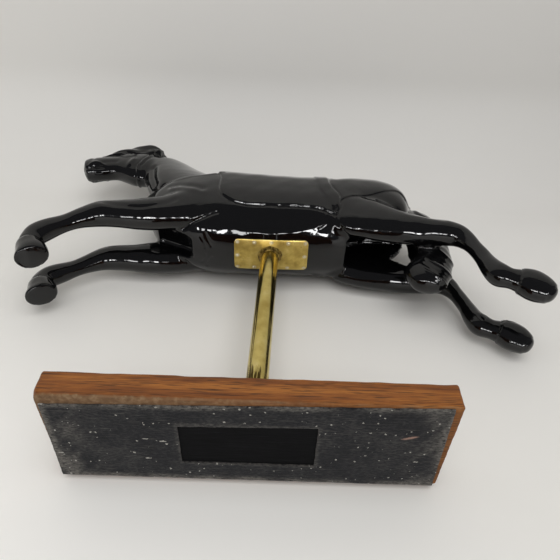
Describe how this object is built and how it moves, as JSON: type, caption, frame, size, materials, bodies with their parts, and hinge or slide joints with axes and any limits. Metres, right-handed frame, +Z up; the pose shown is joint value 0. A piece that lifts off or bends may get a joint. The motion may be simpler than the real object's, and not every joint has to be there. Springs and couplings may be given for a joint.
{
  "type": "carousel horse on stand",
  "caption": "Black lacquered carousel horse in a flying gallop, with carved tack, held by a belly plate and a short brass pole on a rectangular wooden base.",
  "frame": {"origin": "on the surface that the stand rests on, under the middle of the whole horse from tail to muzzle; the middle of the base is 11.5 mm in front of it", "axes": "+X where the horse runs and along the base, +Y the horse's left side, +Z up"},
  "size_m": [0.4416, 0.0904, 0.3983],
  "materials": {
    "lacquer": "high gloss black lacquer",
    "brass": "polished, a little tarnished",
    "braze": "dull brown",
    "base_wood": "satin varnish, worn",
    "felt": "worn felt"
  },
  "bodies": {
    "root": {"horse": "lacquer", "belly_plate": "brass", "plate_pin_01": "brass", "plate_pin_02": "brass", "plate_pin_03": "brass", "plate_pin_04": "brass", "plate_pin_05": "brass", "plate_pin_06": "brass", "plate_pin_07": "brass", "plate_pin_08": "brass", "plate_pin_09": "brass", "plate_pin_10": "brass", "plate_pin_11": "brass", "plate_pin_12": "brass", "pole_braze": "braze", "pole": "brass", "base": "base_wood", "base_felt": "felt"}
  },
  "joints": []
}
